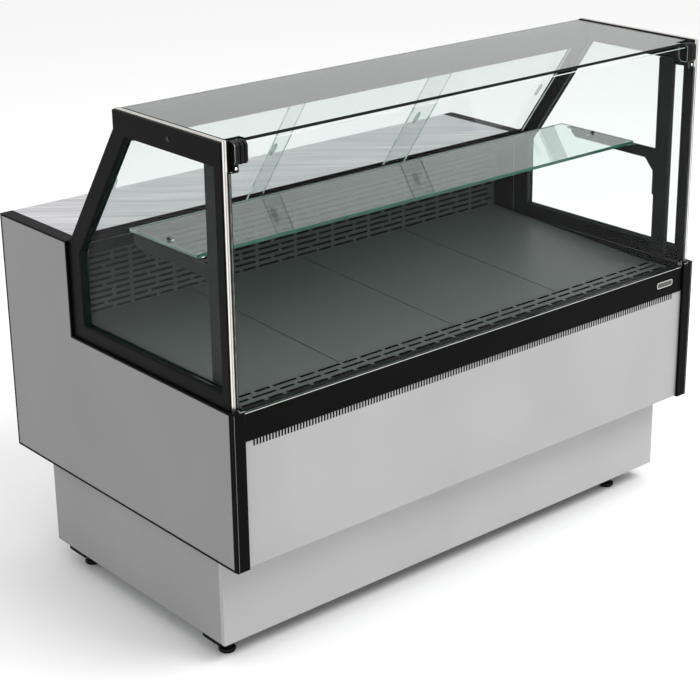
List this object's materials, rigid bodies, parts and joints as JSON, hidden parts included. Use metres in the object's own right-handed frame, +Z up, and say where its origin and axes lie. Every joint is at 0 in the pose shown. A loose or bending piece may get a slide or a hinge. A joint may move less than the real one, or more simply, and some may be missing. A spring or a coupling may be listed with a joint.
{
  "type": "refrigerated deli case",
  "caption": "Serve-over refrigerated display case with straight lift-up glass, a glass shelf, sliding rear doors, a steel worktop and a reserve store below.",
  "frame": {"origin": "on the floor under the middle of the case's bounding box", "axes": "+X along the length towards the customer's right, +Y towards the service side, +Z up"},
  "size_m": [1.5, 0.951, 1.2367],
  "materials": {
    "grey_insulated_panel": "matt grey powder coat over insulated panel",
    "pale_grey_sheet": "satin pale grey powder coat",
    "grey_sheet": "matt grey powder coat",
    "black_profile": "satin black coated profile",
    "black_sheet": "satin black powder coat",
    "black_compressor": "semi-gloss black enamel",
    "dark_sheet": "matt dark grey powder coat",
    "liner": "smooth light grey liner over foam",
    "stainless": "brushed along the length",
    "bright_aluminium": "bright anodised",
    "fin_block": "bare aluminium fins",
    "galvanised": "galvanised steel",
    "black_plastic": "fine-grained black",
    "clear_glass": "polished"
  },
  "bodies": {
    "case": {"end_panel_left": "grey_insulated_panel", "end_panel_right": "grey_insulated_panel", "front_panel": "pale_grey_sheet", "plinth_front": "pale_grey_sheet", "plinth_side_left": "grey_sheet", "plinth_side_right": "grey_sheet", "plinth_rear_grille": "grey_sheet", "control_panel": "grey_sheet", "corner_post_left": "black_profile", "corner_post_right": "black_profile", "side_frame_left": "black_profile", "side_frame_right": "black_profile", "rear_header": "black_profile", "door_track": "black_profile", "shelf_upright_left": "black_sheet", "shelf_upright_right": "black_sheet", "shelf_bracket_left": "black_sheet", "shelf_bracket_right": "black_sheet", "compressor": "black_compressor", "deck_tray_1": "dark_sheet", "deck_tray_2": "dark_sheet", "deck_tray_3": "dark_sheet", "deck_tray_4": "dark_sheet", "front_air_grille": "dark_sheet", "rear_air_duct": "dark_sheet", "insulated_body": "liner", "worktop": "stainless", "edge_strip_left": "bright_aluminium", "edge_strip_right": "bright_aluminium", "evaporator_coil": "fin_block", "condenser": "fin_block", "base_frame": "galvanised", "evaporator_fan_plate": "galvanised", "front_bumper": "black_plastic", "foot_front_left": "black_plastic", "foot_front_right": "black_plastic", "foot_rear_left": "black_plastic", "foot_rear_right": "black_plastic", "hinge_base_left": "black_plastic", "hinge_base_right": "black_plastic", "mains_inlet": "black_plastic", "side_glass_left": "clear_glass", "side_glass_right": "clear_glass", "glass_shelf": "clear_glass", "top_glass": "clear_glass"},
    "front_window": {"front_glass": "clear_glass", "hinge_clamp_left": "black_plastic", "hinge_clamp_right": "black_plastic"},
    "service_door_left": {"sliding_door_left": "clear_glass"},
    "service_door_middle": {"sliding_door_middle": "clear_glass"},
    "service_door_right": {"sliding_door_right": "clear_glass"},
    "reserve_left": {"reserve_door_left": "grey_insulated_panel", "reserve_handle_left": "black_plastic"},
    "reserve_right": {"reserve_door_right": "grey_insulated_panel", "reserve_handle_right": "black_plastic"},
    "evaporator_rotor_left": {"evaporator_fan_left": "black_plastic"},
    "evaporator_rotor_right": {"evaporator_fan_right": "black_plastic"},
    "condenser_rotor": {"condenser_fan": "black_plastic"},
    "switch_rocker": {"mains_switch": "black_plastic"},
    "thermostat_dial": {"thermostat_knob": "black_plastic"}
  },
  "joints": [
    {"name": "front_window_lift", "type": "hinge", "parent": "case", "child": "front_window", "pos_m": [0, -0.4585, 1.216], "axis": [-1, 0, 0], "range_deg": [0, 85]},
    {"name": "service_door_left_slide", "type": "slide", "parent": "case", "child": "service_door_left", "axis": [1, 0, 0], "range_m": [0, 0.396]},
    {"name": "service_door_middle_slide", "type": "slide", "parent": "case", "child": "service_door_middle", "axis": [1, 0, 0], "range_m": [-0.457, 0.457]},
    {"name": "service_door_right_slide", "type": "slide", "parent": "case", "child": "service_door_right", "axis": [1, 0, 0], "range_m": [-0.396, 0]},
    {"name": "reserve_left_swing", "type": "hinge", "parent": "case", "child": "reserve_left", "pos_m": [-0.7147, 0.4435, 0.443], "axis": [0, 0, 1], "range_deg": [0, 105]},
    {"name": "reserve_right_swing", "type": "hinge", "parent": "case", "child": "reserve_right", "pos_m": [0.7147, 0.4435, 0.443], "axis": [0, 0, -1], "range_deg": [0, 105]},
    {"name": "evaporator_fan_left_spin", "type": "hinge", "parent": "case", "child": "evaporator_rotor_left", "pos_m": [-0.34, -0.1895, 0.455], "axis": [0, 1, 0], "continuous": true},
    {"name": "evaporator_fan_right_spin", "type": "hinge", "parent": "case", "child": "evaporator_rotor_right", "pos_m": [0.34, -0.1895, 0.455], "axis": [0, 1, 0], "continuous": true},
    {"name": "condenser_fan_spin", "type": "hinge", "parent": "case", "child": "condenser_rotor", "pos_m": [0.3, 0.1865, 0.158], "axis": [0, 1, 0], "continuous": true},
    {"name": "mains_switch_rock", "type": "hinge", "parent": "case", "child": "switch_rocker", "pos_m": [0.52, 0.4422, 0.745], "axis": [1, 0, 0], "range_deg": [-14, 0]},
    {"name": "thermostat_turn", "type": "hinge", "parent": "case", "child": "thermostat_dial", "pos_m": [0.6, 0.4502, 0.745], "axis": [0, 1, 0], "range_deg": [0, 270]}
  ]
}
